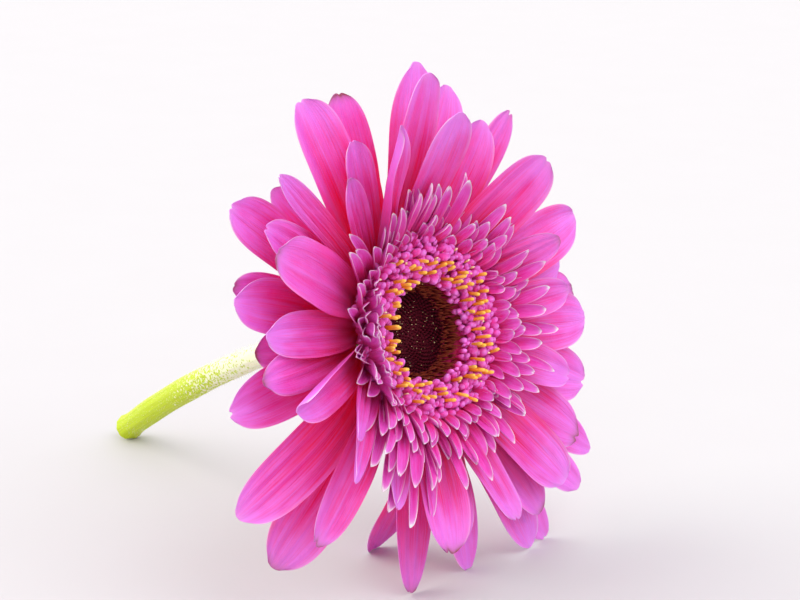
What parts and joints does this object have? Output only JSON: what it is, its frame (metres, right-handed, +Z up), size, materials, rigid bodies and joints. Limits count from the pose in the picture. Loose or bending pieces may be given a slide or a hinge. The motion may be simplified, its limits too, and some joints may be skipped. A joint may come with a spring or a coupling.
{
  "type": "cut gerbera",
  "caption": "Cut gerbera flower lying on its lower petals and its short bent stem: pink ray petals around a frill of strap florets, a ring of open florets and a dark eye.",
  "frame": {"origin": "middle of the bounding box's base, on the surface that the flower lies on", "axes": "+X the way the face looks, tipped up 15 degrees; -X the way the stem runs back; +Y to the right of someone who looks at the face; +Z up"},
  "size_m": [0.1346, 0.1064, 0.1044],
  "materials": {
    "petal": "satin",
    "floret": "satin",
    "eye": "matte",
    "green": "satin",
    "stem": "satin"
  },
  "bodies": {
    "root": {"ray_petal_01": "petal", "ray_petal_02": "petal", "ray_petal_03": "petal", "ray_petal_04": "petal", "ray_petal_05": "petal", "ray_petal_06": "petal", "ray_petal_07": "petal", "ray_petal_08": "petal", "ray_petal_09": "petal", "ray_petal_10": "petal", "ray_petal_11": "petal", "ray_petal_12": "petal", "ray_petal_13": "petal", "ray_petal_14": "petal", "ray_petal_15": "petal", "ray_petal_16": "petal", "ray_petal_17": "petal", "ray_petal_18": "petal", "ray_petal_19": "petal", "ray_petal_20": "petal", "ray_petal_21": "petal", "ray_petal_22": "petal", "ray_petal_23": "petal", "ray_petal_24": "petal", "ray_petal_25": "petal", "ray_petal_26": "petal", "ray_petal_27": "petal", "ray_petal_28": "petal", "ray_petal_29": "petal", "ray_petal_30": "petal", "ray_petal_31": "petal", "ray_petal_32": "petal", "ray_petal_33": "petal", "ray_petal_34": "petal", "ray_petal_35": "petal", "ray_petal_36": "petal", "ray_petal_37": "petal", "ray_petal_38": "petal", "ray_petal_39": "petal", "ray_petal_40": "petal", "ray_petal_41": "petal", "ray_petal_42": "petal", "ray_petal_43": "petal", "ray_petal_44": "petal", "ray_petal_45": "petal", "ray_petal_46": "petal", "ray_petal_47": "petal", "ray_petal_48": "petal", "ray_petal_49": "petal", "ray_petal_50": "petal", "ray_petal_51": "petal", "ray_petal_52": "petal", "ray_petal_53": "petal", "ray_petal_54": "petal", "disc_florets": "floret", "bud_cushion": "eye", "trans_florets": "floret", "receptacle": "green", "involucre": "green", "stem": "stem"}
  },
  "joints": []
}
